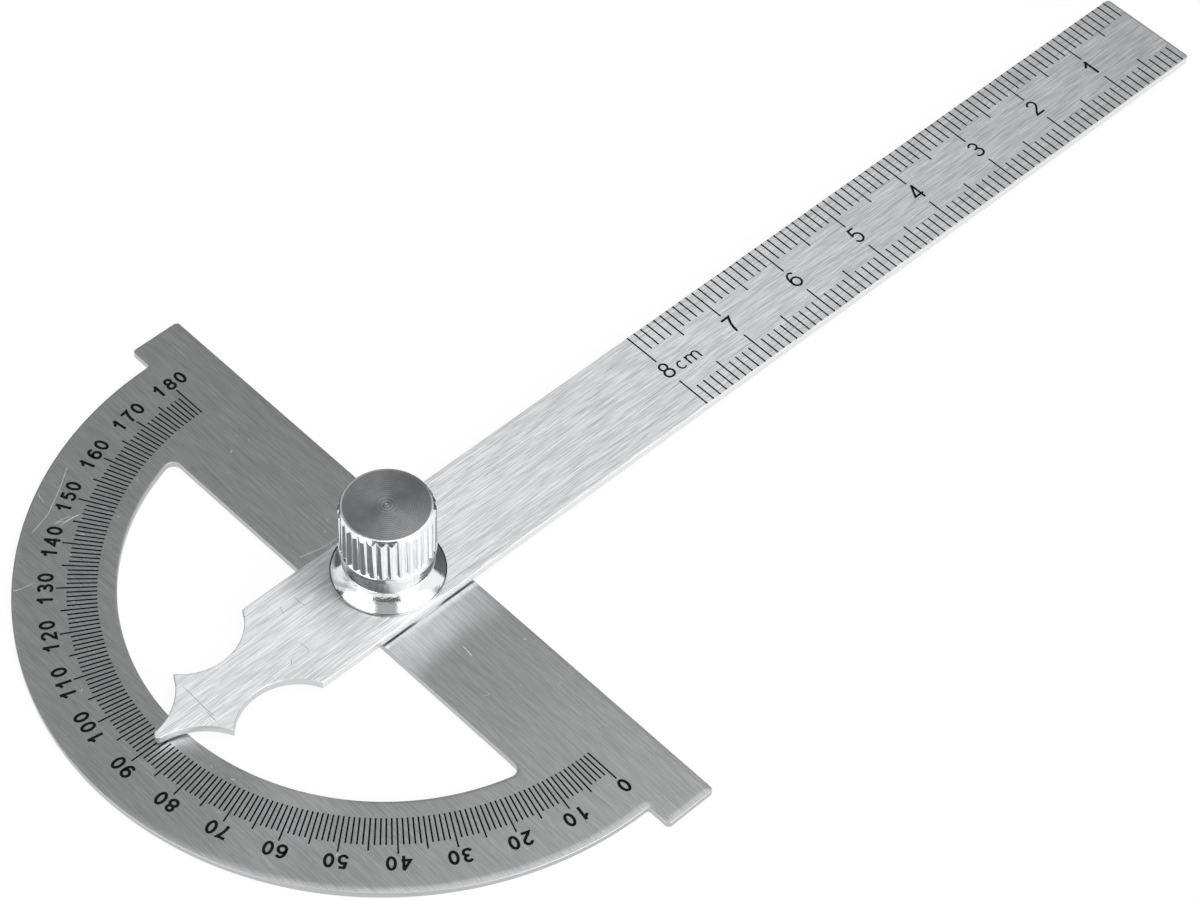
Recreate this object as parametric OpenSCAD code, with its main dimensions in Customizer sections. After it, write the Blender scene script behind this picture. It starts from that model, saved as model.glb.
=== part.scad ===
// Angle gauge: a half-round protractor plate with a swinging rule arm,
// clamped by a fluted thumb nut on a riveted stud.
// Origin on the pivot axis at the plate's back face. X runs towards the zero
// end of the bar, Y along the rule, Z up through the nut. All sizes in mm.

/* [Protractor plate] */
// Radius of the round edge outside the degree scale
plate_r = 39.8; // [36:0.1:60]
// Thickness of the plate
plate_t = 0.8; // [0.6:0.05:2]
// Width of the straight bar across the plate, centred on the pivot
bar_w = 12.9; // [11:0.1:16]
// Width of the round band that carries the degree scale
band_w = 11.1; // [9:0.1:14]
// How far each ear of the bar stands out past the round edge
ear_l = 2.95; // [2.4:0.05:8]
// Rounding of the ears' corners
ear_r = 1; // [0.3:0.1:1.5]
// Rounding of the two corners of the window
window_corner_r = 1; // [0.3:0.1:2]
// Rounding in the notch between each ear and the round edge
notch_r = 0.4; // [0.2:0.1:0.8]

/* [Rule arm] */
// Width of the rule
arm_w = 12.9; // [12:0.1:16]
// Thickness of the rule
arm_t = 1; // [0.6:0.05:2]
// Reach of the rule from the pivot to its square end
rule_l = 121.1; // [90:0.1:220]
// Rounding of the rule's end corners
rule_end_r = 0.5; // [0.2:0.1:2]

/* [Spear pointer] */
// How far the tip stops short of the plate's round edge
tip_inset = 7.9; // [6:0.1:9]
// Length of the pointer from its shoulders to its tip
pointer_l = 17.1; // [16:0.1:20]
// Width of the pointer at its waist
waist_w = 5.4; // [4:0.1:7]
// Radius of the hollow on each side of the waist
waist_r = 6.4; // [6:0.1:7]
// Width over the barbs of the spearhead
barb_w = 9.8; // [9:0.1:10.5]
// Radius of the hollow flank between each barb and the tip
flank_r = 7.75; // [7:0.05:12]
// Width of the blunt tip
tip_w = 1; // [0.5:0.1:1.4]

/* [Pivot stud and spacer] */
// Diameter of the rivet shank in the plate
rivet_d = 4; // [3:0.1:5]
// Diameter of the peened head, flush in the plate's back
rivet_head_d = 5.6; // [5.2:0.1:7]
// Depth of the peened head
rivet_head_h = 0.4; // [0.2:0.05:0.5]
// Diameter of the shoulder that the arm swings on
shoulder_d = 5.9; // [5.6:0.1:7]
// Diameter of the thread that takes the nut
thread_d = 5; // [4:0.1:5.2]
// Length of the thread above the shoulder
thread_l = 6.8; // [4:0.1:7.2]
// Bevel on the thread's free end
thread_bevel = 0.4; // [0.2:0.1:0.8]
// Outer diameter of the spacer washer under the arm
spacer_d = 13.2; // [9:0.1:16]
// Thickness of the spacer washer
spacer_t = 0.25; // [0.1:0.05:1]

/* [Thumb nut] */
// Diameter of the flared foot that presses on the arm
foot_d = 12.5; // [11.5:0.1:16]
// Height of the foot's upright rim
rim_h = 0.35; // [0.2:0.05:0.8]
// Ledge between the rim and the start of the cove
rim_step = 0.12; // [0.05:0.01:0.3]
// Height of the cove from the rim up to the neck
cove_h = 1.9; // [1.2:0.1:2.4]
// How deep the cove is hollowed below a straight cone
cove_bow = 0.1; // [0.04:0.02:0.3]
// Diameter of the smooth neck
neck_d = 9.84; // [8.4:0.02:10]
// Ledge where the cove meets the neck
ring_step = 0.08; // [0.04:0.01:0.2]
// Height of the neck up to the head
neck_h = 2.1; // [1.2:0.1:4]
// Diameter of the head over its flutes
head_d = 10.46; // [10.4:0.02:12]
// Height of the smooth lip below the flutes
lip_h = 0.6; // [0.3:0.1:1.2]
// Height of the fluted grip, from the lip to the bevelled cap
grip_h = 5.4; // [4:0.1:8]
// Height of the bevelled cap, which cuts off the upper ends of the grooves
cap_h = 0.8; // [0.6:0.05:1.2]
// Diameter of the flat top
top_d = 9.6; // [9:0.1:9.8]
// How far the crests of the flutes stand back from the lip
crest_step = 0.03; // [0.01:0.01:0.1]
// Radius of each flute's round crest
flute_r = 0.6; // [0.55:0.01:0.7]
// Number of flutes around the grip
flute_n = 30; // [28:1:32]
// Diameter at the bottoms of the grooves
groove_d = 9.96; // [9.86:0.02:10.06]
// Height of the slope on which each groove runs out above the lip
runout_h = 0.3; // [0.1:0.05:0.5]
// Depth of the nut's blind thread, to its full width
bore_depth = 7.6; // [7.4:0.1:9]
// Angle of the drilled bottom of the blind hole
drill_angle = 118; // [90:1:140]

/* [Clearances] */
// Gap all round between the shoulder and the arm's hole
pivot_gap = 0.05; // [0.02:0.01:0.1]
// Gap all round between the rivet and the plate
rivet_gap = 0.02; // [0.01:0.01:0.05]
// Gap all round between the spacer's hole and the shoulder
spacer_gap = 0.1; // [0.05:0.01:0.2]
// Gap all round between the stud's thread and the nut's bore
thread_gap = 0.05; // [0.02:0.01:0.1]
// How far the shoulder stops below the arm's top, so that the nut can clamp
clamp_gap = 0.05; // [0.02:0.01:0.1]

/* [Hidden] */
$fn = 96;

// The two sides of the centre line
SIDES = [-1, 1];

window_r = plate_r - band_w;
bar_l = 2 * (plate_r + ear_l);

spacer_z = plate_t;
arm_z = spacer_z + spacer_t;
nut_z = arm_z + arm_t;
shoulder_top = nut_z - clamp_gap;

tip_y = tip_inset - plate_r;
shoulder_y = tip_y + pointer_l;
waist_x = waist_w / 2 + waist_r;
waist_y = shoulder_y - half_chord(waist_r, waist_x - arm_w / 2);

rim_z = nut_z + rim_h;
cove_z = rim_z + cove_h;
lip_z = cove_z + neck_h;
grip_z = lip_z + lip_h;
cap_z = grip_z + grip_h;
top_z = cap_z + cap_h;

head_r = head_d / 2;
crest_r = head_r - crest_step;
neck_r = neck_d / 2;
bore_r = thread_d / 2 + thread_gap;

// Radius of an arc that leaves a line at a tangent and is off it by a after a run of h
function arc_r(a, h) = (a * a + h * h) / (2 * a);

// Half the chord of a circle of radius r, at a distance d from its centre
function half_chord(r, d) = sqrt(r * r - d * d);

// Where circles of radius ra about a and rb about b cross, on the right of the line a to b
function crossing(a, ra, b, rb) =
    let (
        d = norm(b - a),
        along = (b - a) / d,
        across = [along[1], -along[0]],
        s = (ra * ra - rb * rb + d * d) / (2 * d)
    )
    a + s * along + half_chord(ra, s) * across;

module rounded_rect(w, h, r) {
    translate([-w / 2 + r, 0]) square([w - 2 * r, h]);
    translate([-w / 2, r]) square([w, h - 2 * r]);
    for (x = [-w / 2 + r, w / 2 - r], y = [r, h - r])
        translate([x, y]) circle(r);
}

// Protractor plate

module bar_and_band_outline() {
    rounded_rect(bar_l, bar_w / 2, ear_r);
    intersection() {
        circle(plate_r);
        translate([-plate_r, -plate_r]) square([2 * plate_r, plate_r + ear_r]);
    }
    notch_fillets();
}

// A strip that ends in a small hollow between each ear and the round edge
module notch_fillets() {
    c = [half_chord(plate_r + notch_r, notch_r), -notch_r];
    touch_y = c[1] * plate_r / norm(c);
    difference() {
        translate([-c[0], touch_y]) square([2 * c[0], notch_r - touch_y]);
        for (side = SIDES) translate([side * c[0], c[1]]) circle(notch_r);
    }
}

// The window is the round field below the bar, its two corners rounded inside it
module window_outline() {
    top_y = -bar_w / 2;
    c = [half_chord(window_r - window_corner_r, bar_w / 2 + window_corner_r), top_y - window_corner_r];
    reach = 2 * window_r / norm(c);
    intersection() {
        circle(window_r);
        union() {
            translate([-c[0], -window_r]) square([2 * c[0], window_r + top_y]);
            polygon([c, c * reach, [-c[0], c[1]] * reach, [-c[0], c[1]]]);
        }
    }
    for (side = SIDES) translate([side * c[0], c[1]]) circle(window_corner_r);
}

module protractor_plate() {
    hole_r = rivet_d / 2 + rivet_gap;
    sink_r = rivet_head_d / 2 + rivet_gap;
    color("#cfd1d2") difference() {
        linear_extrude(plate_t) difference() {
            bar_and_band_outline();
            window_outline();
            circle(hole_r);
        }
        cylinder(r1 = sink_r, r2 = hole_r, h = rivet_head_h);
    }
}

// Rule arm

module rule_outline() {
    body_l = rule_l - tip_y - tip_w / 2;
    translate([-arm_w / 2, rule_l - body_l]) square([arm_w, body_l - rule_end_r]);
    translate([-arm_w / 2 + rule_end_r, rule_l - body_l]) square([arm_w - 2 * rule_end_r, body_l]);
    for (side = SIDES) translate([side * (arm_w / 2 - rule_end_r), rule_l - rule_end_r]) circle(rule_end_r);
}

module waist_hollows() {
    for (side = SIDES) translate([side * waist_x, waist_y]) circle(waist_r);
}

// Each flank touches the round of the tip and ends at its barb
module flank_hollows() {
    barb = [barb_w / 2, waist_y - half_chord(waist_r, waist_x - barb_w / 2)];
    tip = [0, tip_y + tip_w / 2];
    c = crossing(tip, flank_r + tip_w / 2, barb, flank_r);
    for (side = SIDES) translate([side * c[0], c[1]]) circle(flank_r);
}

module rule_arm() {
    color("#d0d2d3") translate([0, 0, arm_z]) linear_extrude(arm_t) difference() {
        union() {
            difference() {
                rule_outline();
                waist_hollows();
                flank_hollows();
            }
            translate([0, tip_y + tip_w / 2]) circle(tip_w / 2);
        }
        circle(shoulder_d / 2 + pivot_gap);
    }
}

// Pivot stud and spacer

module spacer_washer() {
    color("#c6c8ca") translate([0, 0, spacer_z]) linear_extrude(spacer_t) difference() {
        circle(spacer_d / 2);
        circle(shoulder_d / 2 + spacer_gap);
    }
}

module pivot_stud() {
    thread_top = shoulder_top + thread_l;
    color("#b2b4b6") rotate_extrude() polygon([
        [0, 0],
        [rivet_head_d / 2, 0],
        [rivet_d / 2, rivet_head_h],
        [rivet_d / 2, plate_t],
        [shoulder_d / 2, plate_t],
        [shoulder_d / 2, shoulder_top],
        [thread_d / 2, shoulder_top],
        [thread_d / 2, thread_top - thread_bevel],
        [thread_d / 2 - thread_bevel, thread_top],
        [0, thread_top]
    ]);
}

// Thumb nut

// Flared foot, neck and lip, as a half section
module foot_section() {
    flare = foot_d / 2 - rim_step - neck_r - ring_step;
    slant = norm([flare, cove_h]);
    cove_r = arc_r(cove_bow, slant / 2);
    middle = [neck_r + ring_step + flare / 2, cove_z - cove_h / 2];
    outward = [cove_h, flare] / slant;
    chamfer = head_r - neck_r;
    translate([0, nut_z]) square([foot_d / 2, rim_h]);
    difference() {
        translate([0, nut_z]) square([foot_d / 2, cove_z - nut_z]);
        translate(middle + outward * (cove_r - cove_bow)) circle(cove_r);
    }
    polygon([
        [0, cove_z],
        [neck_r, cove_z],
        [neck_r, lip_z - chamfer],
        [head_r, lip_z],
        [head_r, grip_z],
        [0, grip_z]
    ]);
}

// Everything of the head lies inside this half section
module head_envelope() {
    polygon([
        [0, grip_z],
        [head_r, grip_z],
        [head_r, cap_z],
        [top_d / 2, top_z],
        [0, top_z]
    ]);
}

// The solid behind the flutes. It widens at its foot, where the grooves run out
module head_core() {
    groove_r = groove_d / 2;
    intersection() {
        head_envelope();
        polygon([
            [0, grip_z],
            [head_r, grip_z],
            [groove_r, grip_z + runout_h],
            [groove_r, top_z],
            [0, top_z]
        ]);
    }
}

module flutes() {
    intersection() {
        translate([0, 0, grip_z]) linear_extrude(top_z - grip_z)
            for (i = [0 : flute_n - 1])
                rotate(i * 360 / flute_n) translate([crest_r - flute_r, 0]) circle(flute_r);
        rotate_extrude() head_envelope();
    }
}

module blind_thread() {
    drill_h = bore_r / tan(drill_angle / 2);
    translate([0, 0, nut_z]) cylinder(r = bore_r, h = bore_depth);
    translate([0, 0, nut_z + bore_depth]) cylinder(r1 = bore_r, r2 = 0, h = drill_h);
}

module thumb_nut() {
    color("#f0f1f2") difference() {
        union() {
            rotate_extrude() {
                foot_section();
                head_core();
            }
            flutes();
        }
        blind_thread();
    }
}

protractor_plate();
rule_arm();
spacer_washer();
pivot_stud();
thumb_nut();
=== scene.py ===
"""Looks of the angle gauge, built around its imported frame.

Lengths are in millimetres until a mesh is made. X runs along the bar, Y along the rule,
and Z up through the thumb nut, as in the frame.
"""
import random
from math import acos, atan2, ceil, cos, degrees, hypot, pi, radians, sin, sqrt, tan

import bmesh
import bpy
from mathutils import Matrix, Vector
from mathutils.geometry import tessellate_polygon


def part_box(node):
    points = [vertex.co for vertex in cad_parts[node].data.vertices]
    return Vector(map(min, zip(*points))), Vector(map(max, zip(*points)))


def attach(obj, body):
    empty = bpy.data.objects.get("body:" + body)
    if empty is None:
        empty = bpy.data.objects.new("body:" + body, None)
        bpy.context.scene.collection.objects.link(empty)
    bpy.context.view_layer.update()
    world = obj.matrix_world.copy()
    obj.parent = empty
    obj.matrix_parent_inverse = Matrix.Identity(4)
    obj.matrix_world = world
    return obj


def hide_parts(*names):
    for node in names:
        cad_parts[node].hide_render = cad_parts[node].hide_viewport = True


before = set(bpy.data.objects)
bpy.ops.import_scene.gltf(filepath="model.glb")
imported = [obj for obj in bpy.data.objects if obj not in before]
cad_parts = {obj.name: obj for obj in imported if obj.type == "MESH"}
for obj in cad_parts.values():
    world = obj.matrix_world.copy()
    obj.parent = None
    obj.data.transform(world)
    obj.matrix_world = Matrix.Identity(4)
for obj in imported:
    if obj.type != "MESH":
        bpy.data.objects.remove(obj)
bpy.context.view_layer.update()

MM = 0.001
SAME_POINT = 0.0001


# Sizes of the real pieces, read from the frame where it holds them

def node_box(node):
    """A node's lowest and highest corners in millimetres."""
    low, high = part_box(node)
    return low / MM, high / MM


_, plate_high = node_box("protractor_plate")
arm_low, arm_high = node_box("rule_arm")
nut_low, nut_high = node_box("thumb_nut")
_, stud_high = node_box("pivot_stud")

PLATE_R = 39.8
PLATE_TOP = plate_high.z
BAR_HALF = plate_high.y
EAR_X = plate_high.x
EAR_R = 0.5
NOTCH_R = 0.3
WINDOW_R = 28.7
WINDOW_CORNER_R = 1.0
RIVET_HOLE_R = 2.02
RIVET_SINK_R = 2.82
RIVET_SINK_H = 0.4

ARM_HALF = arm_high.x
ARM_BASE = arm_low.z
ARM_TOP = arm_high.z
RULE_END = arm_high.y
RULE_END_R = 0.5
TIP_Y = arm_low.y
TIP_R = 0.5
SHOULDER_Y = -14.8
WAIST_HALF = 2.7
WAIST_R = 6.4
BARB_HALF = 4.9
FLANK_R = 7.75
PIVOT_HOLE_R = 3.0

FOOT_R = 6.25
FOOT_Z = nut_low.z
RIM_TOP = FOOT_Z + 0.35
COVE_START_R = 6.13
COVE_TOP = FOOT_Z + 2.25
COVE_TOP_R = 5.0
COVE_BOW = 0.06
NECK_R = 4.92
HEAD_R = 5.23
LIP_Z = FOOT_Z + 4.35
GRIP_Z = FOOT_Z + 4.95
CREST_R = 5.2
FLUTE_R = 0.6
GROOVE_R = 4.98
RUNOUT = 0.3
CAP_Z = FOOT_Z + 10.35
NUT_TOP = nut_high.z
TOP_R = 4.8
FLUTES = 30
DOME = 0.1


# Outlines, as lists of points with the sheet on their left

def arc(cx, cy, r, start, end, step=4.0, ry=None):
    """Points on an arc from one angle to another, in degrees."""
    count = max(2, ceil(abs(end - start) / step))
    ry = r if ry is None else ry
    angles = [radians(start + (end - start) * i / count) for i in range(count + 1)]
    return [(cx + r * cos(a), cy + ry * sin(a)) for a in angles]


def same_point(a, b):
    return hypot(a[0] - b[0], a[1] - b[1]) < SAME_POINT


def joined(*runs):
    """One closed list from several runs of points, without repeats."""
    points = []
    for run in runs:
        for point in run:
            if not points or not same_point(point, points[-1]):
                points.append(point)
    if same_point(points[0], points[-1]):
        points.pop()
    return points


def mirrored(points):
    """The outline's left half from its right half, in the order that continues it."""
    return [(-x, y) for x, y in reversed(points)]


def plate_outline():
    """The half-round edge, a small notch beside each ear, and the ears."""
    notch_x = sqrt((PLATE_R + NOTCH_R) ** 2 - NOTCH_R ** 2)
    lean = degrees(atan2(NOTCH_R, notch_x))
    right = joined(
        arc(0, 0, PLATE_R, 270, 360 - lean, 1.0),
        arc(notch_x, -NOTCH_R, NOTCH_R, 180 - lean, 90, 10),
        arc(EAR_X - EAR_R, EAR_R, EAR_R, 270, 360, 9),
        arc(EAR_X - EAR_R, BAR_HALF - EAR_R, EAR_R, 0, 90, 9),
    )
    return joined(right, mirrored(right))


def window_outline():
    """The D-shaped window, turned round because it is a hole."""
    corner_y = -BAR_HALF - WINDOW_CORNER_R
    corner_x = sqrt((WINDOW_R - WINDOW_CORNER_R) ** 2 - corner_y ** 2)
    lean = degrees(atan2(-corner_y, corner_x))
    right = joined(
        arc(0, 0, WINDOW_R, 270, 360 - lean, 1.2),
        arc(corner_x, corner_y, WINDOW_CORNER_R, -lean, 90, 9),
    )
    return joined(right, mirrored(right))[::-1]


def ring_outline(r):
    """A round hole in a sheet."""
    return arc(0, 0, r, 360, 0, 7.5)[:-1]


def arm_outline():
    """The pointer's tip, flanks, barbs, waist and shoulders, and the rule's square end."""
    waist_x = WAIST_HALF + WAIST_R
    waist_y = SHOULDER_Y - sqrt(WAIST_R ** 2 - (waist_x - ARM_HALF) ** 2)
    shoulder = degrees(acos((ARM_HALF - waist_x) / WAIST_R))
    barb = 360 - degrees(acos((BARB_HALF - waist_x) / WAIST_R))
    barb_y = waist_y + WAIST_R * sin(radians(barb))
    tip_cy = TIP_Y + TIP_R

    # The hollow flank's circle touches the round of the tip and ends at the barb
    from_tip, from_barb = FLANK_R + TIP_R, FLANK_R
    run, rise = BARB_HALF, barb_y - tip_cy
    d = hypot(run, rise)
    ux, uy = run / d, rise / d
    along = (from_tip * from_tip - from_barb * from_barb + d * d) / (2 * d)
    aside = sqrt(from_tip * from_tip - along * along)
    flank_x, flank_y = along * ux + aside * uy, tip_cy + along * uy - aside * ux
    touch = degrees(atan2(tip_cy - flank_y, -flank_x)) % 360
    flank_end = degrees(atan2(barb_y - flank_y, BARB_HALF - flank_x)) % 360

    right = joined(
        arc(0, tip_cy, TIP_R, -90, touch - 180, 12),
        arc(flank_x, flank_y, FLANK_R, touch, flank_end, 3),
        arc(waist_x, waist_y, WAIST_R, barb, shoulder, 3),
        arc(ARM_HALF - RULE_END_R, RULE_END - RULE_END_R, RULE_END_R, 0, 90, 12),
    )
    return joined(right, mirrored(right))


# Meshes

def mitre(before, at, after, distance, sharpest):
    """Step from a path's point to a line at a distance to its left.

    Where the path nearly turns back, sharpest limits the step: 4 is straight on, 0 is back.
    """
    ux, uy = at[0] - before[0], at[1] - before[1]
    vx, vy = after[0] - at[0], after[1] - at[1]
    ul, vl = hypot(ux, uy), hypot(vx, vy)
    nx, ny = -(uy / ul + vy / vl), ux / ul + vx / vl
    reach = 2 * distance / max(nx * nx + ny * ny, sharpest)
    return nx * reach, ny * reach


def inset(points, distance):
    """The outline moved to its left by a distance, with its corners mitred.

    A round smaller than the distance closes to the point where the straight runs beside it meet.
    """
    moved = []
    count = len(points)
    for i, (x, y) in enumerate(points):
        mx, my = mitre(points[i - 1], (x, y), points[(i + 1) % count], distance, sharpest=0.3)
        moved.append((x + mx, y + my))

    def step(path, i):
        (x0, y0), (x1, y1) = path[i % count], path[(i + 1) % count]
        return x1 - x0, y1 - y0

    # A step that now runs backwards lies in a round that has closed
    folded = []
    for i in range(count):
        (ux, uy), (vx, vy) = step(points, i), step(moved, i)
        folded.append(ux * vx + uy * vy < 0)
    for first in [i for i in range(count) if folded[i] and not folded[i - 1]]:
        last = first
        while folded[(last + 1) % count]:
            last += 1
        (ux, uy), (vx, vy) = step(moved, first - 1), step(moved, last + 1)
        x, y = moved[first]
        after_x, after_y = moved[(last + 1) % count]
        t = ((after_x - x) * vy - (after_y - y) * vx) / (ux * vy - uy * vx)
        for i in range(first, last + 2):
            moved[i % count] = (x + t * ux, y + t * uy)
    return moved


def new_piece(name, bm, materials, crease=28):
    """A piece from a mesh in millimetres, smooth but for edges sharper than the crease."""
    bmesh.ops.scale(bm, vec=(MM, MM, MM), verts=bm.verts)
    bm.normal_update()
    for f in bm.faces:
        f.smooth = True
    for e in bm.edges:
        e.smooth = len(e.link_faces) == 2 and e.calc_face_angle(pi) < radians(crease)
    mesh = bpy.data.meshes.new(name)
    bm.to_mesh(mesh)
    bm.free()
    for m in materials:
        mesh.materials.append(m)
    piece = bpy.data.objects.new(name, mesh)
    bpy.context.scene.collection.objects.link(piece)
    return piece


ROLL_STEPS = 8
BACK_RING = 0.1
FRONT_RING = 0.06


def sheet_edge(back, front, edge_r, roll_w, roll_h):
    """Section of a sheet's edge from back to front, as (inset, height) steps.

    The edges are rounded by edge_r, and the brushed front falls by roll_h over the last roll_w.
    """
    quarter = [radians(a) for a in (0, 30, 60, 90)]
    low = [(edge_r * (1 - sin(a)), back + edge_r * (1 - cos(a))) for a in quarter]
    lip = front - roll_h
    high = [(edge_r * (1 - cos(a)), lip - edge_r * (1 - sin(a))) for a in quarter]
    roll = []
    for i in range(1, ROLL_STEPS + 1):
        t = i / ROLL_STEPS
        roll.append((edge_r + (roll_w - edge_r) * t, front - roll_h * (1 - t) ** 2))
    # A narrow flat ring on both faces keeps their shading flat up to the rounds
    return [(edge_r + BACK_RING, back)] + low + high + roll + [(roll_w + FRONT_RING, front)]


BRUSHED_SLOPE = 0.25
BRUSHED_DROP = 0.3
NO_AREA = 1e-9


def sheet(name, loops, materials, grain):
    """A flat sheet from (outline, section) loops: slot 0 is its faces, slot 1 its cut edges.

    Its UV map has U across the grain of the brushing, which the steel's tangent follows.
    """
    bm = bmesh.new()
    back_rims, front_rims = [], []
    for points, section in loops:
        rings = []
        for distance, z in section:
            ring = inset(points, distance) if distance else points
            rings.append([bm.verts.new((x, y, z)) for x, y in ring])
        count = len(points)
        front = max(z for _, z in section)
        for low, high, (_, high_z) in zip(rings, rings[1:], section[1:]):
            for i in range(count):
                j = (i + 1) % count
                face = bm.faces.new((low[i], low[j], high[j], high[i]))
                rise = high[i].co.z - low[i].co.z
                run = hypot(high[i].co.x - low[i].co.x, high[i].co.y - low[i].co.y)
                # The brushing also covers the roll, which slopes gently below the front
                brushed = rise < run * BRUSHED_SLOPE and high_z > front - BRUSHED_DROP
                face.material_index = 0 if brushed else 1
        back_rims.append(rings[0])
        front_rims.append(rings[-1])
    for rims, faces_down in ((back_rims, True), (front_rims, False)):
        flat = [v for rim in rims for v in rim]
        for a, b, c in tessellate_polygon([[v.co for v in rim] for rim in rims]):
            corners = [flat[a], flat[b], flat[c]]
            (x0, y0, _), (x1, y1, _), (x2, y2, _) = (v.co for v in corners)
            area = (x1 - x0) * (y2 - y0) - (x2 - x0) * (y1 - y0)
            if abs(area) < NO_AREA:
                continue
            if (area > 0) == faces_down:
                corners.reverse()
            bm.faces.new(corners)
    bmesh.ops.remove_doubles(bm, verts=bm.verts, dist=SAME_POINT)
    uv = bm.loops.layers.uv.new("grain")
    for f in bm.faces:
        for loop in f.loops:
            x, y, _ = loop.vert.co
            loop[uv].uv = (x, y) if grain == "Y" else (y, -x)
    return new_piece(name, bm, materials)


def turned(name, section, radius, columns, materials, slot_of, crease=28):
    """A turned body from (r, z) steps that run from its bottom centre to its top centre.

    radius(r, z, angle) is where the surface really is at a step, and slot_of(row) gives the
    material of the faces above it.
    """
    bm = bmesh.new()
    rings = []
    for r, z in section:
        if r == 0:
            rings.append([bm.verts.new((0, 0, z))])
        else:
            spokes = [(radius(r, z, a), a) for a in columns]
            rings.append([bm.verts.new((d * cos(a), d * sin(a), z)) for d, a in spokes])
    for row, (low, high) in enumerate(zip(rings, rings[1:])):
        count = max(len(low), len(high))
        for i in range(count):
            j = (i + 1) % count
            if len(low) == 1:
                face = bm.faces.new((low[0], high[j], high[i]))
            elif len(high) == 1:
                face = bm.faces.new((low[i], low[j], high[0]))
            else:
                face = bm.faces.new((low[i], low[j], high[j], high[i]))
            face.material_index = slot_of(row)
    return new_piece(name, bm, materials, crease)


def ribbon(bm, path, width, low, high, closed=False):
    """A flat band of ink or scratch along a path of points."""
    count = len(path)
    sides = []
    for i, (x, y) in enumerate(path):
        bx, by = path[i - 1]
        ax, ay = path[(i + 1) % count]
        if not closed and i == 0:
            bx, by = 2 * x - ax, 2 * y - ay
        if not closed and i == count - 1:
            ax, ay = 2 * x - bx, 2 * y - by
        mx, my = mitre((bx, by), (x, y), (ax, ay), width / 2, sharpest=0.5)
        sides.append([
            bm.verts.new((x + s * mx, y + s * my, z))
            for s, z in ((-1, low), (1, low), (1, high), (-1, high))
        ])
    for i in range(count if closed else count - 1):
        a, b = sides[i], sides[(i + 1) % count]
        for k in range(4):
            bm.faces.new((a[k], a[(k + 1) % 4], b[(k + 1) % 4], b[k]))
    if not closed:
        bm.faces.new(sides[0][::-1])
        bm.faces.new(sides[-1])


# Figures, drawn with strokes in a box 0.6 wide and 1 high

FIGURE_W = 0.6
STROKE_LIFT = 0.0004


def figure_strokes():
    """Each figure's strokes, as (points, closed)."""
    six = arc(0.34, 0.5, 0.33, 48, 180, 12, 0.5) + arc(0.31, 0.31, 0.3, 180, 540, 15, 0.31)
    return {
        "0": [(arc(0.3, 0.5, 0.285, 0, 345, 15, 0.5), True)],
        "1": [
            ([(0.28, 1.0), (0.28, 0.0)], False),
            ([(-0.07, 0.67), (0.08, 0.77), (0.21, 0.89), (0.28, 1.0)], False),
        ],
        "2": [(
            arc(0.3, 0.72, 0.27, 168, -28, 14, 0.28)
            + [(0.36, 0.38), (0.13, 0.18), (0.02, 0.0), (0.6, 0.0)],
            False,
        )],
        "3": [
            (arc(0.29, 0.76, 0.25, 158, -84, 14, 0.24) + [(0.2, 0.525)], False),
            (arc(0.29, 0.265, 0.3, 84, -158, 14, 0.265), False),
        ],
        "4": [
            ([(0.44, 0.0), (0.44, 1.0)], False),
            ([(0.44, 1.0), (-0.04, 0.27), (0.61, 0.27)], False),
        ],
        "5": [
            ([(0.55, 1.0), (0.15, 1.0), (0.07, 0.5)], False),
            (arc(0.29, 0.325, 0.3, 142, -158, 14, 0.325), False),
        ],
        "6": [(six, False)],
        "7": [(
            [(0.0, 1.0), (0.6, 1.0), (0.47, 0.8), (0.35, 0.55), (0.27, 0.28), (0.23, 0.0)],
            False,
        )],
        "8": [
            (arc(0.3, 0.765, 0.24, 0, 345, 15, 0.235), True),
            (arc(0.3, 0.27, 0.3, 0, 345, 15, 0.27), True),
        ],
        "9": [([(FIGURE_W - x, 1 - y) for x, y in six], False)],
    }


FIGURES = figure_strokes()


def letter_strokes():
    """The letters c and m, in a box 1 high."""
    arch = arc(0.37, 0.62, 0.36, 180, 0, 15, 0.38)
    leg = 0.73
    return {
        "c": [(arc(0.4, 0.5, 0.4, 48, 312, 12, 0.5), False)],
        "m": [
            ([(0.0, 0.0), (0.0, 1.0)], False),
            (arch + [(leg, 0.0)], False),
            ([(x + leg, y) for x, y in arch] + [(2 * leg, 0.0)], False),
        ],
    }


LETTERS = letter_strokes()


def write(bm, strokes, origin, right, up, size, squeeze, width, low, high):
    """Draws one figure, its box's lower left corner at the origin.

    A steep stroke that ends on the box's edge goes half its width past it, as the rounds do.
    Each stroke is a hair higher than the one before, so that no two faces coincide.
    """
    past = width / 2 / size
    for n, (points, closed) in enumerate(strokes):
        points = list(points)
        ends = [] if closed else [(0, 1), (-1, -2)]
        for end, beside in ends:
            (x, y), (bx, by) = points[end], points[beside]
            if y in (0, 1) and abs(by - y) > abs(bx - x):
                points[end] = (x, y + past if y else -past)
        path = []
        for x, y in points:
            x, y = x * size * squeeze, y * size
            path.append((
                origin[0] + x * right[0] + y * up[0],
                origin[1] + x * right[1] + y * up[1],
            ))
        ribbon(bm, path, width, low, high + n * STROKE_LIFT, closed)


# Materials

def linear(code):
    """A colour written as an sRGB hex value."""
    channels = [int(code[i:i + 2], 16) / 255 for i in (1, 3, 5)]
    curve = [c / 12.92 if c <= 0.04045 else ((c + 0.055) / 1.055) ** 2.4 for c in channels]
    return curve + [1.0]


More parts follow.
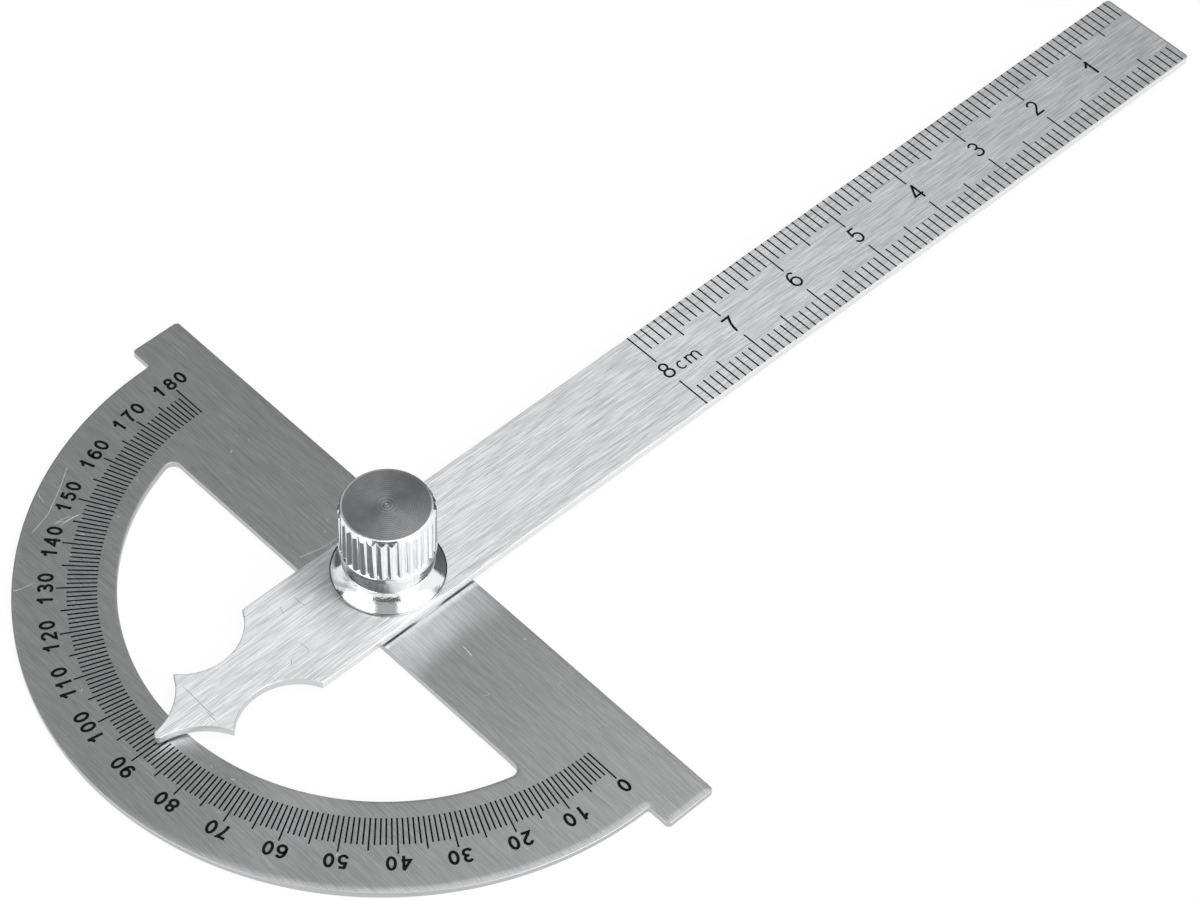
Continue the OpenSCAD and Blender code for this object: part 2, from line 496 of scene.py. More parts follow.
def add(tree, kind, links=None, **settings):
    """Adds a node; links are values or sockets by input, settings are its own properties.

    A Mix node's inputs go by number: 0 is its factor, 2 and 3 its values, 6 and 7 its colours.
    """
    made = tree.nodes.new(kind)
    for key, value in settings.items():
        setattr(made, key, value)
    for key, value in (links or {}).items():
        if isinstance(value, bpy.types.NodeSocket):
            tree.links.new(value, made.inputs[key])
        else:
            made.inputs[key].default_value = value
    return made


def new_material(name):
    """An empty material and its node tree."""
    material = bpy.data.materials.new(name)
    material.use_nodes = True
    material.node_tree.nodes.clear()
    return material, material.node_tree


def finish_material(tree, shader):
    """Joins a finished shader to the material's output."""
    add(tree, "ShaderNodeOutputMaterial", {"Surface": shader})


def scale_of(size):
    """The scale of a pattern whose cells have a size in millimetres."""
    return 1 / (size * MM)


def streaks(tree, place, across, along, offset, detail):
    """Noise drawn out along the grain: streaks of a width and a length in millimetres."""
    scaled = add(tree, "ShaderNodeMapping", {
        "Vector": place,
        "Location": (offset, 0, 0),
        "Scale": (scale_of(across), scale_of(along), scale_of(across)),
    })
    return add(tree, "ShaderNodeTexNoise", {
        "Vector": scaled.outputs[0], "Scale": 1.0, "Detail": detail,
    }).outputs[0]


def scratches(tree, place, turn, across, along, rarity):
    """A mask of sparse fine scratches at an angle to the grain."""
    turned_place = add(tree, "ShaderNodeMapping", {
        "Vector": place, "Rotation": (0, 0, radians(turn)),
    }).outputs[0]
    noise = streaks(tree, turned_place, across, along, turn, 0.0)
    return add(tree, "ShaderNodeMapRange", {
        "Value": noise, "From Min": rarity, "From Max": rarity + 0.06, "To Min": 0.0, "To Max": 1.0,
    }).outputs[0]


def brushed_steel(name, dark, light, grain, roughness, across, along):
    """Stainless sheet, belt brushed along one line.

    The brushing draws reflections out across it and leaves fine light and dark streaks.
    Handling adds sparse short scratches at other angles.
    """
    material, tree = new_material(name)
    place = add(tree, "ShaderNodeTexCoord").outputs["Object"]
    if grain == "X":
        place = add(tree, "ShaderNodeMapping", {
            "Vector": place, "Rotation": (0, 0, radians(90)),
        }).outputs[0]
    # Real brush lines are about 0.03 mm apart, drawn wider here so that they show
    fine = streaks(tree, place, across, along, 0, 2.0)
    broad = streaks(tree, place, across * 4, along * 5, 3, 1.0)
    # A slow drift in the polish
    drift = add(tree, "ShaderNodeTexNoise", {
        "Vector": place, "Scale": scale_of(16.67), "Detail": 2.0,
    }).outputs[0]
    both = add(tree, "ShaderNodeMix", {0: 0.14, 2: fine, 3: broad}, data_type="FLOAT").outputs[0]
    tone = add(tree, "ShaderNodeMapRange", {
        "Value": both, "From Min": 0.34, "From Max": 0.66,
    }).outputs[0]
    steel = add(tree, "ShaderNodeMix", {
        0: tone, 6: linear(dark), 7: linear(light),
    }, data_type="RGBA").outputs[2]
    marks = add(tree, "ShaderNodeMath", {
        0: scratches(tree, place, 37, 0.07, 2.4, 0.78),
        1: scratches(tree, place, -62, 0.07, 1.6, 0.79),
    }, operation="MAXIMUM").outputs[0]
    marks = add(tree, "ShaderNodeMath", {0: marks, 1: 0.4}, operation="MULTIPLY").outputs[0]
    steel = add(tree, "ShaderNodeMix", {
        0: marks, 6: steel, 7: linear("#f2f3f4"),
    }, data_type="RGBA").outputs[2]
    rough = add(tree, "ShaderNodeMapRange", {
        "Value": drift, "To Min": roughness - 0.04, "To Max": roughness + 0.04,
    }).outputs[0]
    bump = add(tree, "ShaderNodeBump", {
        "Height": fine, "Strength": 0.3, "Distance": 0.02 * MM,
    }).outputs[0]
    tangent = add(tree, "ShaderNodeTangent", direction_type="UV_MAP", uv_map="grain").outputs[0]
    shader = add(tree, "ShaderNodeBsdfPrincipled", {
        "Base Color": steel,
        "Metallic": 1.0,
        "Roughness": rough,
        "Anisotropic": 1.0,
        "Tangent": tangent,
        "Normal": bump,
    })
    finish_material(tree, shader.outputs[0])
    return material


def stamped_edge(name, colour):
    """Stainless sheet where the die cut it: satin, with faint shear lines across the edge."""
    material, tree = new_material(name)
    place = add(tree, "ShaderNodeTexCoord").outputs["Object"]
    shear = add(tree, "ShaderNodeTexNoise", {
        "Vector": place, "Scale": scale_of(0.3846), "Detail": 3.0,
    }).outputs[0]
    rough = add(tree, "ShaderNodeMapRange", {
        "Value": shear, "To Min": 0.28, "To Max": 0.5,
    }).outputs[0]
    bump = add(tree, "ShaderNodeBump", {
        "Height": shear, "Strength": 0.2, "Distance": 0.03 * MM,
    }).outputs[0]
    shader = add(tree, "ShaderNodeBsdfPrincipled", {
        "Base Color": linear(colour), "Metallic": 1.0, "Roughness": rough, "Normal": bump,
    })
    finish_material(tree, shader.outputs[0])
    return material


def scratched_steel(name, colour):
    """A scratch across the brushing: rough, so it shows lighter than the sheet; a dark colour
    paints the shade inside its groove.
    """
    material, tree = new_material(name)
    place = add(tree, "ShaderNodeTexCoord").outputs["Object"]
    depth = add(tree, "ShaderNodeTexNoise", {
        "Vector": place, "Scale": scale_of(0.3333), "Detail": 1.0,
    }).outputs[0]
    rough = add(tree, "ShaderNodeMapRange", {
        "Value": depth, "To Min": 0.35, "To Max": 0.6,
    }).outputs[0]
    shader = add(tree, "ShaderNodeBsdfPrincipled", {
        "Base Color": linear(colour), "Metallic": 0.4, "Roughness": rough,
    })
    finish_material(tree, shader.outputs[0])
    return material


def etched_ink(name):
    """Black enamel wiped into the etched marks: dull, and thinner in places."""
    material, tree = new_material(name)
    place = add(tree, "ShaderNodeTexCoord").outputs["Object"]
    wear = add(tree, "ShaderNodeTexNoise", {
        "Vector": place, "Scale": scale_of(0.4), "Detail": 2.0,
    }).outputs[0]
    colour = add(tree, "ShaderNodeMix", {
        0: wear, 6: linear("#08090a"), 7: linear("#151618"),
    }, data_type="RGBA").outputs[2]
    shader = add(tree, "ShaderNodeBsdfPrincipled", {
        "Base Color": colour, "Roughness": 0.75, "IOR": 1.5, "Specular IOR Level": 0.12,
    })
    finish_material(tree, shader.outputs[0])
    return material


def bright_chrome(name):
    """Bright chrome plate over turned steel: a clear mirror with a slight ripple."""
    material, tree = new_material(name)
    place = add(tree, "ShaderNodeTexCoord").outputs["Object"]
    ripple = add(tree, "ShaderNodeTexNoise", {
        "Vector": place, "Scale": scale_of(0.27778), "Detail": 3.0,
    }).outputs[0]
    rough = add(tree, "ShaderNodeMapRange", {
        "Value": ripple, "To Min": 0.05, "To Max": 0.13,
    }).outputs[0]
    bump = add(tree, "ShaderNodeBump", {
        "Height": ripple, "Strength": 0.18, "Distance": 0.06 * MM,
    }).outputs[0]
    shader = add(tree, "ShaderNodeBsdfPrincipled", {
        "Base Color": linear("#f0f1f2"), "Metallic": 1.0, "Roughness": rough, "Normal": bump,
    })
    finish_material(tree, shader.outputs[0])
    return material


def dark_recess(name):
    """Painted shade in a turned corner: dull, nearly black, the metal just showing."""
    material, tree = new_material(name)
    place = add(tree, "ShaderNodeTexCoord").outputs["Object"]
    patches = add(tree, "ShaderNodeTexNoise", {
        "Vector": place, "Scale": scale_of(0.6667), "Detail": 3.0,
    }).outputs[0]
    colour = add(tree, "ShaderNodeMix", {
        0: patches, 6: linear("#141517"), 7: linear("#6c6e70"),
    }, data_type="RGBA").outputs[2]
    shader = add(tree, "ShaderNodeBsdfPrincipled", {
        "Base Color": colour, "Metallic": 0.5, "Roughness": 0.6,
    })
    finish_material(tree, shader.outputs[0])
    return material


def turned_steel(name, colour, roughness, pitch):
    """Steel faced on a lathe: rings a tool's feed apart draw reflections out along the radius."""
    material, tree = new_material(name)
    place = add(tree, "ShaderNodeTexCoord").outputs["Object"]

    def rings(feed, blur):
        # The wave has one ring in each 2 pi / 20 of its scaled length
        return add(tree, "ShaderNodeTexWave", {
            "Vector": place,
            "Scale": 2 * pi / 20 / (feed * MM),
            "Distortion": blur,
            "Detail Scale": 2.0,
        }, wave_type="RINGS", rings_direction="Z").outputs["Fac"]

    # Coarser rings round the centre, where the tool slowed
    fine, coarse = rings(pitch, 0.6), rings(pitch * 1.5, 0.3)
    flat = add(tree, "ShaderNodeVectorMath", {
        0: place, 1: (1, 1, 0),
    }, operation="MULTIPLY").outputs[0]
    reach = add(tree, "ShaderNodeVectorMath", {0: flat}, operation="LENGTH").outputs["Value"]
    near = add(tree, "ShaderNodeMapRange", {
        "Value": reach, "From Min": 0.9 * MM, "From Max": 1.4 * MM, "To Min": 1.0, "To Max": 0.0,
    }).outputs[0]
    relief = add(tree, "ShaderNodeMix", {
        0: near, 2: fine, 3: coarse,
    }, data_type="FLOAT").outputs[0]
    depth = add(tree, "ShaderNodeMapRange", {
        "Value": near, "To Min": 0.4, "To Max": 1.0,
    }).outputs[0]
    cloud = add(tree, "ShaderNodeTexNoise", {
        "Vector": place, "Scale": scale_of(1.1111), "Detail": 3.0,
    }).outputs[0]
    rough = add(tree, "ShaderNodeMapRange", {
        "Value": cloud, "To Min": roughness - 0.06, "To Max": roughness + 0.06,
    }).outputs[0]
    tone = add(tree, "ShaderNodeMix", {0: 0.5, 2: relief, 3: cloud}, data_type="FLOAT").outputs[0]
    tone = add(tree, "ShaderNodeMapRange", {
        "Value": tone, "To Min": 0.86, "To Max": 1.14,
    }).outputs[0]
    shade = add(tree, "ShaderNodeVectorMath", {
        0: linear(colour)[:3], "Scale": tone,
    }, operation="SCALE").outputs[0]
    bump = add(tree, "ShaderNodeBump", {
        "Height": relief, "Strength": depth, "Distance": 0.006 * MM,
    }).outputs[0]
    tangent = add(tree, "ShaderNodeTangent", direction_type="RADIAL", axis="Z").outputs[0]
    shader = add(tree, "ShaderNodeBsdfPrincipled", {
        "Base Color": shade,
        "Metallic": 1.0,
        "Roughness": rough,
        "Anisotropic": 0.6,
        "Anisotropic Rotation": 0.25,
        "Tangent": tangent,
        "Normal": bump,
    })
    finish_material(tree, shader.outputs[0])
    return material


plate_steel = brushed_steel(
    "brushed_stainless_plate", "#c5c7c8", "#e5e7e7", "X", roughness=0.39, across=0.075, along=3.0)
arm_steel = brushed_steel(
    "brushed_stainless_rule", "#aeb0b1", "#e4e5e6", "Y", roughness=0.42, across=0.075, along=3.2)
plate_edge = stamped_edge("stamped_edge_of_plate", "#b8babb")
arm_edge = stamped_edge("die_cut_edge_of_pointer", "#cfd0d1")
# The rule's ground long sides: their light colour also paints the bright reflection they show
rule_side_painted_sheen = stamped_edge("ground_rule_side_with_painted_sheen", "#e4e5e5")
ink = etched_ink("black_enamel_in_etching")
chrome = bright_chrome("bright_chrome_plate")
nut_end = turned_steel("chromed_lathe_face", "#a2a4a6", roughness=0.24, pitch=0.26)
bright_scratch = scratched_steel("fresh_scratch_in_steel", "#f2f3f4")
# The rule's scratches are grey: their colour is painted shade inside the groove
shaded_scratch = scratched_steel("scratch_with_painted_groove_shade", "#7c7e80")
# A nearly black finish that paints the shade in the nut's corners, under its foot and in the rim's
# groove
painted_corner_shade = dark_recess("painted_shade_in_turned_corner")
stud_steel = turned_steel("turned_stainless", "#b2b4b6", roughness=0.32, pitch=0.15)
shim_steel = stamped_edge("rolled_stainless_shim", "#c6c8ca")


# Protractor plate

def make_plate():
    """The plate: its outer edge rolls over more than the window's, as the die left them."""
    outer_edge = sheet_edge(0, PLATE_TOP, edge_r=0.08, roll_w=0.9, roll_h=0.055)
    window_edge = sheet_edge(0, PLATE_TOP, edge_r=0.06, roll_w=0.4, roll_h=0.012)
    sink = RIVET_SINK_R - RIVET_HOLE_R
    rivet_hole = [(sink + 0.08, 0), (sink, 0), (0, RIVET_SINK_H), (0, PLATE_TOP)]
    loops = [
        (plate_outline(), outer_edge),
        (window_outline(), window_edge),
        (ring_outline(RIVET_HOLE_R), rivet_hole),
    ]
    plate = sheet("brushed_plate", loops, [plate_steel, plate_edge], "X")
    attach(plate, "protractor")
    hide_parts("protractor_plate")


# The ink stands a hair proud, so that it shows, and reaches into the steel
INK_RISE = 0.012
INK_DEPTH = 0.03
SCALE_LINE = 0.18

DEGREE_INNER_R = 30.75
DEGREE_OUTER_R = {1: 34.0, 5: 34.7, 10: 35.1}
DEGREE_FIGURE_R = 35.35
DEGREE_FIGURE_H = 1.75
DEGREE_STROKE = 0.325
DEGREE_ADVANCE = 1.45


def tick_kind(n):
    """Which of a scale's three tick lengths the nth tick has: 10, 5 or 1."""
    return 10 if n % 10 == 0 else 5 if n % 5 == 0 else 1


def make_degree_scale():
    """The ticks from 0 to 180 degrees, and a figure at every tenth."""
    low, high = PLATE_TOP - INK_DEPTH, PLATE_TOP + INK_RISE
    bm = bmesh.new()
    for a in range(181):
        ux, uy = cos(radians(a)), -sin(radians(a))
        r0, r1 = DEGREE_INNER_R, DEGREE_OUTER_R[tick_kind(a)]
        ribbon(bm, [(r0 * ux, r0 * uy), (r1 * ux, r1 * uy)], SCALE_LINE, low, high)
    ticks = new_piece("degree_ticks", bm, [ink])
    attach(ticks, "protractor")

    bm = bmesh.new()
    size = DEGREE_FIGURE_H - DEGREE_STROKE
    for a in range(0, 181, 10):
        up = (cos(radians(a)), -sin(radians(a)))
        right = (-sin(radians(a)), -cos(radians(a)))
        text = str(a)
        start = -DEGREE_ADVANCE * (len(text) - 1) / 2 - FIGURE_W * size / 2
        r = DEGREE_FIGURE_R + DEGREE_STROKE / 2
        for i, c in enumerate(text):
            x = start + i * DEGREE_ADVANCE
            origin = (r * up[0] + x * right[0], r * up[1] + x * right[1])
            write(bm, FIGURES[c], origin, right, up, size, 1.0, DEGREE_STROKE, low, high)
    figures = new_piece("degree_figures", bm, [ink])
    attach(figures, "protractor")


# Rule arm

def make_arm():
    """The rule and its pointer. The rule's long sides are ground, and their lighter colour also
    paints the bright reflection they show.
    """
    edge = sheet_edge(ARM_BASE, ARM_TOP, edge_r=0.07, roll_w=0.3, roll_h=0.012)
    pivot_hole = [(0, ARM_BASE), (0, ARM_TOP)]
    loops = [(arm_outline(), edge), (ring_outline(PIVOT_HOLE_R), pivot_hole)]
    arm = sheet("brushed_rule", loops, [arm_steel, arm_edge, rule_side_painted_sheen], "Y")
    for face in arm.data.polygons:
        outermost = abs(face.center.x) > (ARM_HALF - 0.1) * MM
        if face.material_index == 1 and abs(face.normal.x) > 0.99 and outermost:
            face.material_index = 2
    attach(arm, "rule")
    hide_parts("rule_arm")


RULE_TICK_INNER = {1: 3.56, 5: 2.55, 10: 1.83}
RULE_TICK_SHIFT = 0.08
# Bare steel between the ticks and the left and right edges
RULE_TICK_GAP = {-1: 0.03, 1: 0.12}
RULE_ZERO_Y = 121.15
RULE_FIGURE_BASE_X = 1.06
RULE_FIGURE_H = 2.32
RULE_FIGURE_SQUEEZE = 0.93
RULE_STROKE = {1: 0.3, 4: 0.27, 7: 0.29}
RULE_THIN_STROKE = 0.25
LETTER_STROKE = 0.2
SMALL_LETTER_H = 1.3
LETTER_Y = {"c": 42.52, "m": 43.92}


def make_rule_scale():
    """The millimetre ticks along both edges, and the figures from 1 to 8 with their unit."""
    low, high = ARM_TOP - INK_DEPTH, ARM_TOP + INK_RISE
    bm = bmesh.new()
    for k in range(1, 81):
        y = RULE_ZERO_Y - k
        for side, gap in RULE_TICK_GAP.items():
            inner = side * RULE_TICK_INNER[tick_kind(k)] + RULE_TICK_SHIFT
            ribbon(bm, [(inner, y), (side * (ARM_HALF - gap), y)], SCALE_LINE, low, high)
    ticks = new_piece("rule_ticks", bm, [ink])
    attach(ticks, "rule")

    bm = bmesh.new()
    up, right = (-1, 0), (0, 1)
    for cm in range(1, 9):
        stroke = RULE_STROKE.get(cm, RULE_THIN_STROKE)
        size = RULE_FIGURE_H - stroke
        y = RULE_ZERO_Y - 10 * cm - FIGURE_W / 2 * size * RULE_FIGURE_SQUEEZE
        corner = (RULE_FIGURE_BASE_X - stroke / 2, y)
        write(
            bm, FIGURES[str(cm)], corner, right, up, size, RULE_FIGURE_SQUEEZE, stroke, low, high)
    small = SMALL_LETTER_H - LETTER_STROKE
    for letter, y in LETTER_Y.items():
        corner = (RULE_FIGURE_BASE_X - LETTER_STROKE / 2, y)
        write(bm, LETTERS[letter], corner, right, up, small, 1.0, LETTER_STROKE, low, high)
    figures = new_piece("rule_figures", bm, [ink])
    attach(figures, "rule")


# Wear

RULE_SCRATCHES = [
    [(-2.89, -25.76), (-1.72, -25.75), (-0.22, -25.80), (0.71, -25.84), (2.04, -25.75)],
    [(1.25, -25.99), (2.65, -26.03)],
    [(0.88, -13.16), (1.85, -13.08), (2.27, -13.05), (2.44, -13.42)],
    [(2.42, -15.57), (2.0, -15.29), (1.94, -14.92)],
    [(-3.87, -9.66), (-3.04, -9.75), (-2.32, -9.51)],
    [(-4.01, -11.67), (-3.07, -11.94)],
]
PLATE_SCRATCHES = [
    [(-8.37, -5.16), (-8.06, -4.02), (-7.75, -2.88), (-7.65, -1.56), (-7.68, -0.39)],
    [(12.04, -0.27), (13.64, -0.45)],
    [(9.59, -4.12), (11.42, -4.22)],
]
# A rubbed patch and a long shallow line on the band, near 145 degrees
FAINT_SCRATCHES = [
    [(-34.53, -15.77), (-32.74, -18.31), (-30.94, -21.23), (-30.45, -22.75), (-30.1, -24.18)],
    [(-25.27, -30.45), (-24.98, -29.61), (-24.66, -28.21)],
    [(-33.85, -20.3), (-33.07, -20.52), (-32.36, -20.61)],
    [(-29.41, -21.76), (-29.4, -20.61), (-29.13, -19.73)],
    [(-28.79, -21.35), (-28.9, -20.07), (-28.66, -18.73)],
    [(-28.84, -20.55), (-28.77, -19.44), (-28.62, -18.9)],
    [(-29.38, -21.24), (-29.02, -20.63)],
]
SCRATCH_W = 0.05
FAINT_W = 0.028
SCRATCH_DEPTH = 0.02
SCRATCH_RISE = 0.004
SCRATCH_LIFT = 0.0001
BAR_CURLS = 20
BAND_CURLS = 40


def make_scratches():
    """The marks of use on both sheets, and small curls and nicks scattered on the plate.

    Each mark is a hair higher than the one before, so that no two faces coincide.
    """
    draw = random.Random(7)
    places = []
    for _ in range(BAR_CURLS):
        side = draw.choice((-1, 1))
        places.append((side * draw.uniform(8, 36), draw.uniform(-5.2, 5.2)))
    for _ in range(BAND_CURLS):
        r, a = draw.uniform(29.4, 38.9), radians(draw.uniform(186, 354))
        places.append((r * cos(a), r * sin(a)))
    curls = []
    for x, y in places:
        start, r = draw.uniform(0, 360), draw.uniform(0.1, 0.35)
        curls.append(arc(x, y, r, start, start + draw.uniform(50, 160), 15))
    faint_marks = FAINT_SCRATCHES + curls
    for name, body, top, deep, faint, material in (
        ("plate_scratches", "protractor", PLATE_TOP, PLATE_SCRATCHES, faint_marks, bright_scratch),
        # The rule's scratches carry painted shade in their grooves
        ("rule_scratches", "rule", ARM_TOP, RULE_SCRATCHES, [], shaded_scratch),
    ):
        bm = bmesh.new()
        for n, path in enumerate(deep + faint):
            width = SCRATCH_W if n < len(deep) else FAINT_W
            high = top + SCRATCH_RISE + SCRATCH_LIFT * n
            ribbon(bm, path, width, top - SCRATCH_DEPTH, high)
        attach(new_piece(name, bm, [material]), body)


# Pivot stud and spacer

STUD_SHOULDER_R = 2.95
STUD_SHOULDER_TOP = ARM_TOP - 0.05
STUD_BEVEL = 0.05
THREAD_R = 2.5
THREAD_PITCH = 0.8
THREAD_DEPTH = 0.4
THREAD_ROWS = 64
STUD_COLUMNS = 72


def make_stud():
    """The stud with its thread cut in; its riveted end is flush in the plate's back."""
    top = stud_high.z
    thread_base, thread_h = STUD_SHOULDER_TOP + 0.02, top - 0.42 - STUD_SHOULDER_TOP
    thread = [(THREAD_R, thread_base + thread_h * i / THREAD_ROWS) for i in range(THREAD_ROWS + 1)]
    section = [
        # The riveted end, slightly dished, in the plate's countersink
        (0, 0.03), (0.6, 0.02), (2.2, 0), (2.8, 0), (2.0, RIVET_SINK_H), (2.0, PLATE_TOP),
        # The shoulder that the arm swings on
        (STUD_SHOULDER_R - STUD_BEVEL, PLATE_TOP),
        (STUD_SHOULDER_R, PLATE_TOP + STUD_BEVEL),
        (STUD_SHOULDER_R, STUD_SHOULDER_TOP - STUD_BEVEL),
        (STUD_SHOULDER_R - STUD_BEVEL, STUD_SHOULDER_TOP),
        (THREAD_R, STUD_SHOULDER_TOP),
    ] + thread + [(THREAD_R - THREAD_DEPTH, top), (0, top)]

    def radius(r, z, a):
        if r != THREAD_R or z <= STUD_SHOULDER_TOP:
            return r
        turn = (z / THREAD_PITCH - a / (2 * pi)) % 1
        return r - THREAD_DEPTH * (1 - abs(2 * turn - 1))

    columns = [2 * pi * i / STUD_COLUMNS for i in range(STUD_COLUMNS)]
    stud = turned("threaded_stud", section, radius, columns, [stud_steel], lambda row: 0)
    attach(stud, "protractor")
    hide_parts("pivot_stud")


def dress_spacer():
    """The washer keeps its solid from the frame and gets the shim's steel."""
    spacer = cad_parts["spacer_washer"]
    spacer.data.materials.clear()
    spacer.data.materials.append(shim_steel)


# Thumb nut

BORE_R = 2.55
BORE_TOP = FOOT_Z + 7.6
DRILL_HALF_ANGLE = 59
RIM_GROOVE_W = 0.07
RIM_GROOVE_H = 0.1
COLUMNS_PER_FLUTE = 16
FACE_RING_W = 0.22
FACE_RINGS = 21
# Stands for the radius in the fluted rows, where it changes round the nut
FLUTED = -1


def nut_columns():
    """Angles around the nut, closer together in the grooves."""
    angles = []
    for i in range(FLUTES):
        for k in range(COLUMNS_PER_FLUTE):
            t = -1 + 2 * k / COLUMNS_PER_FLUTE
            angles.append(2 * pi / FLUTES * (i + 0.5 * sin(t * pi / 2)))
    return angles


def foot_corner(height, radius, angles, turn):
    """The foot's round corner below its top (turn 1) or above its underside (turn -1)."""
    cr, cz = FOOT_R - radius, height - turn * radius
    return [
        (cr + radius * cos(radians(a)), cz + turn * radius * sin(radians(a))) for a in angles
    ]


def cove_section():
    """The foot's slightly hollow cove, an arc through its two ends with a small bow."""
    run, rise = COVE_START_R - COVE_TOP_R, COVE_TOP - RIM_TOP
    slant = hypot(run, rise)
    cove_r = (COVE_BOW ** 2 + slant ** 2 / 4) / (2 * COVE_BOW)
    out = (cove_r - COVE_BOW) / slant
    cx, cz = COVE_TOP_R + run / 2 + out * rise, RIM_TOP + rise / 2 + out * run
    start = degrees(atan2(RIM_TOP - cz, COVE_START_R - cx)) % 360
    end = degrees(atan2(COVE_TOP - cz, COVE_TOP_R - cx)) % 360
    return arc(cx, cz, cove_r, start, end, 1)


def crest(a):
    """Distance from the axis to the round crest nearest to an angle."""
    centre = CREST_R - FLUTE_R
    offset = (a + pi / FLUTES) % (2 * pi / FLUTES) - pi / FLUTES
    return centre * cos(offset) + sqrt(FLUTE_R ** 2 - (centre * sin(offset)) ** 2)


def nut_radius(r, z, a):
    """The nut's surface at an angle: in the fluted rows, crests and grooves within the cap."""
    if r != FLUTED:
        return r
    cap = HEAD_R - (HEAD_R - TOP_R) * max(z - CAP_Z, 0) / (NUT_TOP - CAP_Z)
    core = max(GROOVE_R, HEAD_R - (HEAD_R - GROOVE_R) * (z - GRIP_Z) / RUNOUT)
    return min(cap, max(core, crest(a)))


def rows_between(low, high, count):
    """Evenly spaced heights from low up to, but not at, high."""
    return [low + (high - low) * i / count for i in range(count)]


def make_nut():
    """The nut, from its blind hole over the foot, the neck and the flutes to its turned face."""
    bore = [(0, BORE_TOP + BORE_R / tan(radians(DRILL_HALF_ANGLE))), (BORE_R, BORE_TOP)]
    bore.append((BORE_R, FOOT_Z))
    underside = foot_corner(FOOT_Z, 0.09, (90, 60, 30, 0), -1)
    rim = foot_corner(RIM_TOP, 0.03, (0, 30, 60, 90), 1)
    groove_z = RIM_TOP - RIM_GROOVE_H
    lower = bore + underside + rim + [
        # A fine turned groove parts the rim from the cove
        (COVE_START_R + RIM_GROOVE_W, groove_z), (COVE_START_R, groove_z),
    ] + cove_section() + [
        # The ledge at the neck
        (COVE_TOP_R, COVE_TOP + 0.03), (NECK_R + 0.02, COVE_TOP + 0.04), (NECK_R, COVE_TOP + 0.05),
        # The bevelled lip under the flutes
        (NECK_R, LIP_Z - 0.27), (NECK_R + 0.01, LIP_Z - 0.23),
        (HEAD_R - 0.02, LIP_Z - 0.01), (HEAD_R, LIP_Z + 0.03),
        (HEAD_R, LIP_Z + 0.3), (HEAD_R, GRIP_Z - 0.03),
    ]
    runout_top = GRIP_Z + RUNOUT
    groove_end = CAP_Z + (NUT_TOP - CAP_Z) * (HEAD_R - GROOVE_R) / (HEAD_R - TOP_R)
    edge_z = NUT_TOP - DOME - 0.02
    grip_rows = (
        rows_between(GRIP_Z, runout_top, 14)
        + rows_between(runout_top, CAP_Z, 8)
        + rows_between(CAP_Z, groove_end, 22)
        + rows_between(groove_end, edge_z, 4)
        + [edge_z]
    )
    face_rs = [TOP_R - 0.02] + [TOP_R - 0.14 - FACE_RING_W * i for i in range(FACE_RINGS)]
    face = [(r, NUT_TOP - DOME * (r / TOP_R) ** 2) for r in face_rs]
    face += [(0.12, NUT_TOP), (0.06, NUT_TOP - 0.03), (0, NUT_TOP - 0.03)]
    section = lower + [(FLUTED, z) for z in grip_rows] + face

    # The facing cut stopped short of the edge, so a bright ring is left round the turned face
    face_start = len(lower) + len(grip_rows) + 1
    # Painted shade under the foot's edge and in the rim's groove, where shade falls
    rim_groove = len(bore + underside + rim) - 1
    painted_shade_rows = [len(bore), len(bore) + 1] + [rim_groove + i for i in range(3)]

    def slot_of(row):
        return 1 if row >= face_start else 2 if row in painted_shade_rows else 0

    finishes = [chrome, nut_end, painted_corner_shade]
    nut = turned("chrome_thumb_nut", section, nut_radius, nut_columns(), finishes, slot_of, 18)
    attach(nut, "nut")
    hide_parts("thumb_nut")


# Studio

FLOOR_R = 20000
FLOOR_Z = -0.02
FLOOR_SIDES = 64


def make_floor():
    """A pale board under the gauge.

    Part of its white is its own, so that only soft shadow shows.
    """
    material, tree = new_material("white_studio_board")
    place = add(tree, "ShaderNodeTexCoord").outputs["Object"]
    grain = add(tree, "ShaderNodeTexNoise", {
        "Vector": place, "Scale": scale_of(1.1111), "Detail": 2.0,
    }).outputs[0]
    white = add(tree, "ShaderNodeMix", {
        0: grain, 6: linear("#f6f6f6"), 7: linear("#ffffff"),
    }, data_type="RGBA").outputs[2]
    board = add(tree, "ShaderNodeBsdfDiffuse", {"Color": white})
    glow = add(tree, "ShaderNodeEmission", {"Color": linear("#ffffff"), "Strength": 1.0})
    light_path = add(tree, "ShaderNodeLightPath")
    seen = add(tree, "ShaderNodeMath", {
        0: light_path.outputs["Is Camera Ray"], 1: light_path.outputs["Is Glossy Ray"],
    }, operation="MAXIMUM").outputs[0]
    seen = add(tree, "ShaderNodeMath", {
        0: seen, 1: light_path.outputs["Is Transmission Ray"],
    }, operation="MAXIMUM").outputs[0]
    share = add(tree, "ShaderNodeMath", {0: seen, 1: 0.9}, operation="MULTIPLY").outputs[0]
    mixed = add(tree, "ShaderNodeMixShader", {0: share, 1: board.outputs[0], 2: glow.outputs[0]})
    finish_material(tree, mixed.outputs[0])

    bm = bmesh.new()
    angles = [2 * pi * i / FLOOR_SIDES for i in range(FLOOR_SIDES)]
    bm.faces.new([bm.verts.new((FLOOR_R * cos(a), FLOOR_R * sin(a), FLOOR_Z)) for a in angles])
    floor = new_piece("studio_board", bm, [material])


